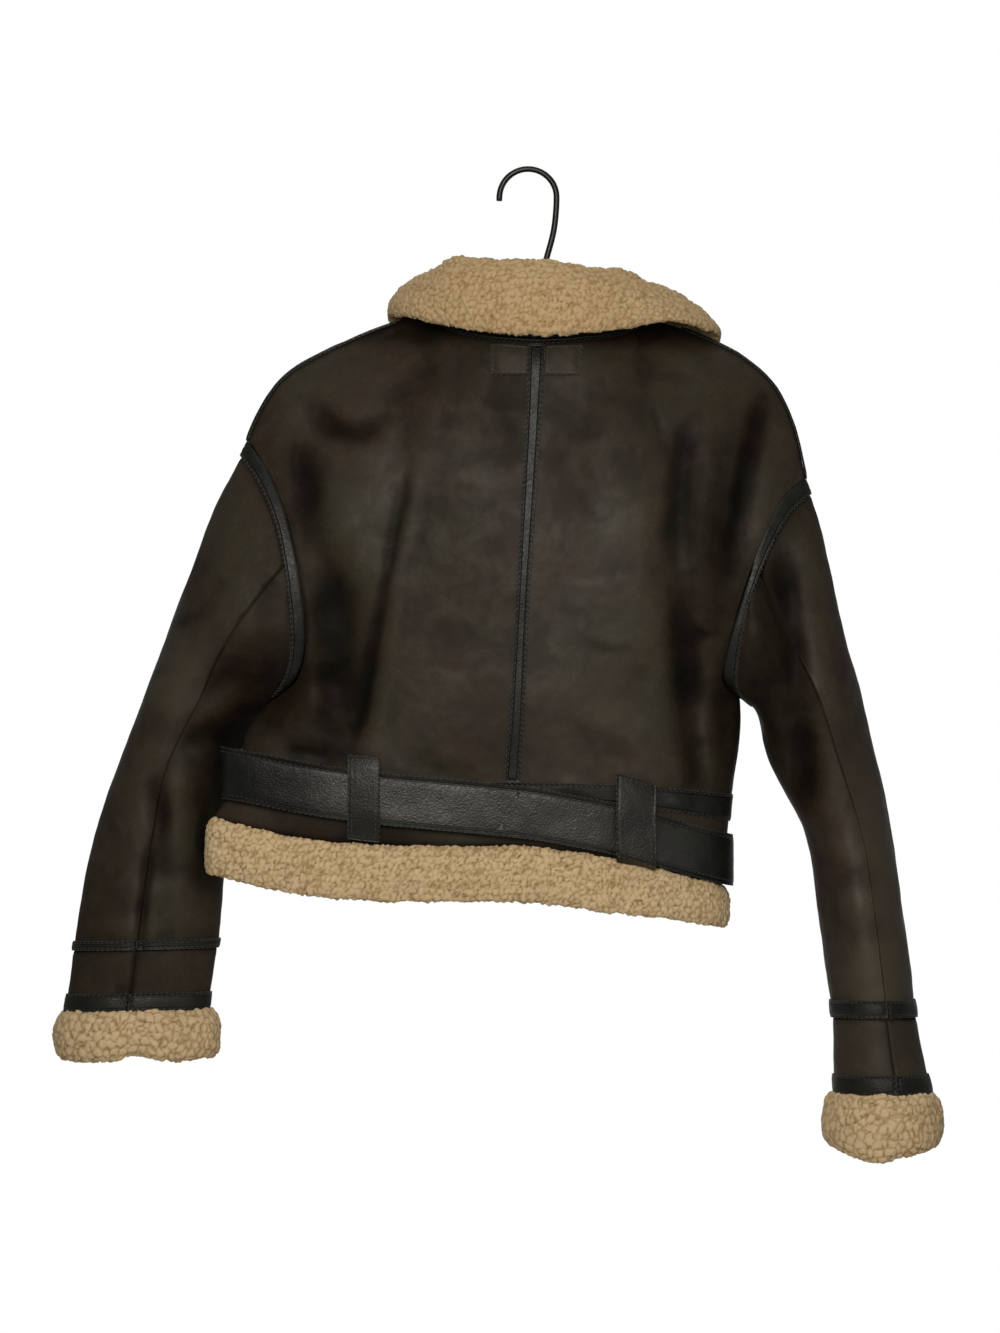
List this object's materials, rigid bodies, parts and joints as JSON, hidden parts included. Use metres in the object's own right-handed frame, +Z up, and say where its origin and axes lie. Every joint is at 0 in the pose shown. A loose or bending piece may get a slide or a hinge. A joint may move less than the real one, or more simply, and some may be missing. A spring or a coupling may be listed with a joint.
{
  "type": "double-faced cropped jacket on a hanger",
  "caption": "Cropped drop-shoulder jacket, dark brown suede-like outside with cream fleece collar, hem and cuffs, black belt, hanging on a wire-hook hanger.",
  "frame": {"origin": "inner top of the hanger's hook, where it rests on a rail", "axes": "+Z up, +X to the right seen from behind the jacket, +Y towards the jacket's front (its back faces -Y)"},
  "size_m": [0.7314, 0.1834, 0.8168],
  "materials": {
    "brown_suede": "soft matt suede-like coating with a faint worn sheen",
    "black_leather": "pebbled semi-matt",
    "cream_fleece": "curled pile in small nubs",
    "blackened_steel": "black satin",
    "hanger_plastic": "matt black"
  },
  "bodies": {
    "root": {"armhole_strip_left": "black_leather", "armhole_strip_right": "black_leather", "back_left": "brown_suede", "back_right": "brown_suede", "band_back": "brown_suede", "band_front_left": "brown_suede", "band_front_right": "brown_suede", "belt": "black_leather", "belt_loop_left": "black_leather", "belt_loop_right": "black_leather", "buckle_frame": "blackened_steel", "buckle_prong": "blackened_steel", "centre_back_strip": "black_leather", "collar": "cream_fleece", "cuff_band_left": "brown_suede", "cuff_band_right": "brown_suede", "cuff_strip_lower_left": "black_leather", "cuff_strip_lower_right": "black_leather", "cuff_strip_upper_left": "black_leather", "cuff_strip_upper_right": "black_leather", "fleece_cuff_left": "cream_fleece", "fleece_cuff_right": "cream_fleece", "front_left": "brown_suede", "front_placket": "black_leather", "front_right": "brown_suede", "hanger_arms": "hanger_plastic", "hanger_hook": "blackened_steel", "hem_back": "cream_fleece", "hem_front_left": "cream_fleece", "hem_front_right": "cream_fleece", "neck_strip": "black_leather", "neck_tab_left": "brown_suede", "neck_tab_right": "brown_suede", "shoulder_strip_left": "black_leather", "shoulder_strip_right": "black_leather", "sleeve_top_left": "brown_suede", "sleeve_top_right": "brown_suede", "sleeve_under_left": "brown_suede", "sleeve_under_right": "brown_suede", "waist_strip": "black_leather"}
  },
  "joints": []
}
